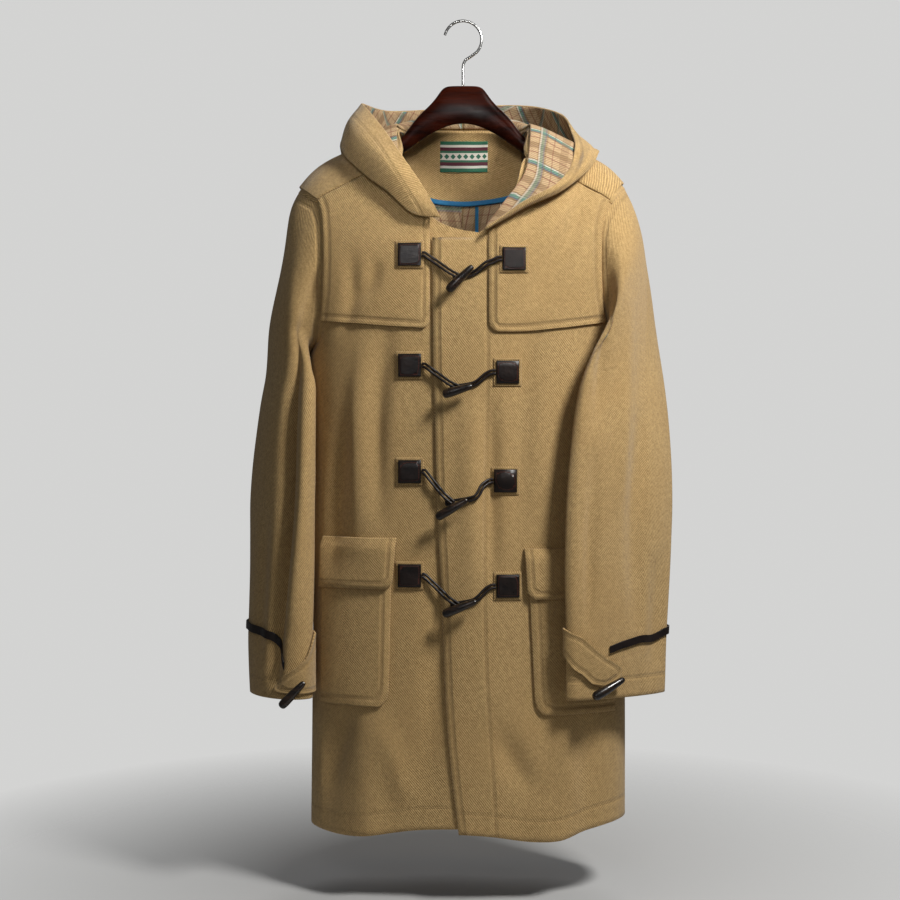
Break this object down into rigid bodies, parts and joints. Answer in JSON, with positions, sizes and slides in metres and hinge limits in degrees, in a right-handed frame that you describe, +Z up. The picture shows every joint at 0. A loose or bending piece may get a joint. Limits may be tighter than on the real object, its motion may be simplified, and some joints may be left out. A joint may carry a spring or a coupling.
{
  "type": "duffle coat on a wooden hanger",
  "caption": "Hooded knee-length wool duffle coat with horn toggles, shoulder cape and flap pockets, hanging filled out on a wooden hanger by its hook.",
  "frame": {"origin": "inside top of the hanger's hook, where it rests on a rail", "axes": "+Z up along the hook's stem, +X to the viewer's right facing the coat's front, -Y out of the coat's front"},
  "size_m": [0.5758, 0.2945, 1.0965],
  "materials": {
    "cloth": "thick camel wool twill, matt with a short nap, plaid on its inner face",
    "trim": "camel wool twill, matt",
    "tape": "blue woven binding tape",
    "label": "woven label, green and pale bands",
    "leather": "dark brown leather, semi-matt",
    "horn": "polished black-brown horn",
    "wood": "dark red-brown varnished wood",
    "steel": "bright steel wire"
  },
  "bodies": {
    "root": {"front_left": "cloth", "front_right": "cloth", "back_left": "cloth", "back_right": "cloth", "cape_front_left": "cloth", "cape_front_right": "cloth", "cape_back": "cloth", "pocket_left": "cloth", "pocket_right": "cloth", "pocket_flap_left": "cloth", "pocket_flap_right": "cloth", "sleeve_left_front": "cloth", "sleeve_left_back": "cloth", "sleeve_right_front": "cloth", "sleeve_right_back": "cloth", "cuff_tab_left": "cloth", "cuff_tab_right": "cloth", "hood_left": "cloth", "hood_right": "cloth", "neck_facing": "trim", "backing_left_1": "trim", "backing_left_2": "trim", "backing_left_3": "trim", "backing_left_4": "trim", "backing_right_1": "trim", "backing_right_2": "trim", "backing_right_3": "trim", "backing_right_4": "trim", "facing_binding": "tape", "centre_back_binding": "tape", "neck_label": "label", "cuff_strap_left": "leather", "cuff_strap_right": "leather", "leather_square_left_1": "leather", "leather_square_left_2": "leather", "leather_square_left_3": "leather", "leather_square_left_4": "leather", "leather_square_right_1": "leather", "leather_square_right_2": "leather", "leather_square_right_3": "leather", "leather_square_right_4": "leather", "toggle_cord_1": "leather", "toggle_cord_2": "leather", "toggle_cord_3": "leather", "toggle_cord_4": "leather", "loop_1": "leather", "loop_2": "leather", "loop_3": "leather", "loop_4": "leather", "cuff_toggle_left": "horn", "cuff_toggle_right": "horn", "toggle_1": "horn", "toggle_2": "horn", "toggle_3": "horn", "toggle_4": "horn", "hanger_wood": "wood", "hanger_hook": "steel"}
  },
  "joints": []
}
